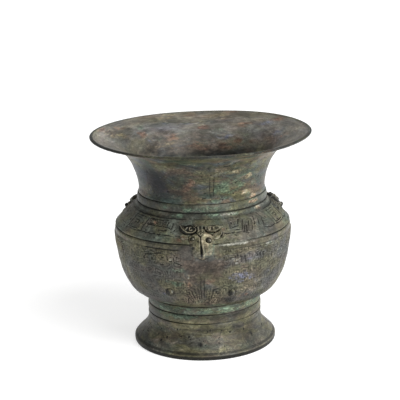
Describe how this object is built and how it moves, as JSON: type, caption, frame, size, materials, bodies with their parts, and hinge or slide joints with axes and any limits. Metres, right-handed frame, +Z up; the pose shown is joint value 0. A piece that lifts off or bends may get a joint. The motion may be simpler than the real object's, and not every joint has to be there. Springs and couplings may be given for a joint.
{
  "type": "bronze zun",
  "caption": "Wide-mouthed cast bronze wine vessel with trumpet mouth, sloping shoulder set with animal heads, deep ornamented belly and flared foot ring.",
  "frame": {"origin": "middle of the standing face under the foot", "axes": "+Z up the vessel's axis, -Y towards the front head, +X to the right as the front head is seen"},
  "size_m": [0.2564, 0.2564, 0.25],
  "materials": {
    "neck_bronze": "patinated bronze, satin grey-brown with green patches",
    "shoulder_bronze": "patinated bronze, worn thread relief with green in the hollows",
    "belly_bronze": "patinated bronze, brown with blue and tan patches",
    "foot_bronze": "patinated bronze, olive brown, satin",
    "head_bronze": "patinated bronze, rubbed bright on the ridges",
    "lock_bronze": "dark rough cast bronze",
    "chaplet_bronze": "brown cast bronze",
    "solder": "dull grey tin-lead solder"
  },
  "bodies": {
    "root": {"mouth_and_neck": "neck_bronze", "shoulder": "shoulder_bronze", "belly_bowl": "belly_bronze", "foot_ring": "foot_bronze", "neck_joint_solder": "solder", "shoulder_joint_solder": "solder", "foot_joint_solder": "solder", "head_front": "head_bronze", "head_rear_right": "head_bronze", "head_rear_left": "head_bronze", "head_lock_front": "lock_bronze", "head_lock_rear_right": "lock_bronze", "head_lock_rear_left": "lock_bronze", "floor_chaplet_1": "chaplet_bronze", "floor_chaplet_2": "chaplet_bronze", "floor_chaplet_3": "chaplet_bronze", "floor_chaplet_4": "chaplet_bronze"}
  },
  "joints": []
}
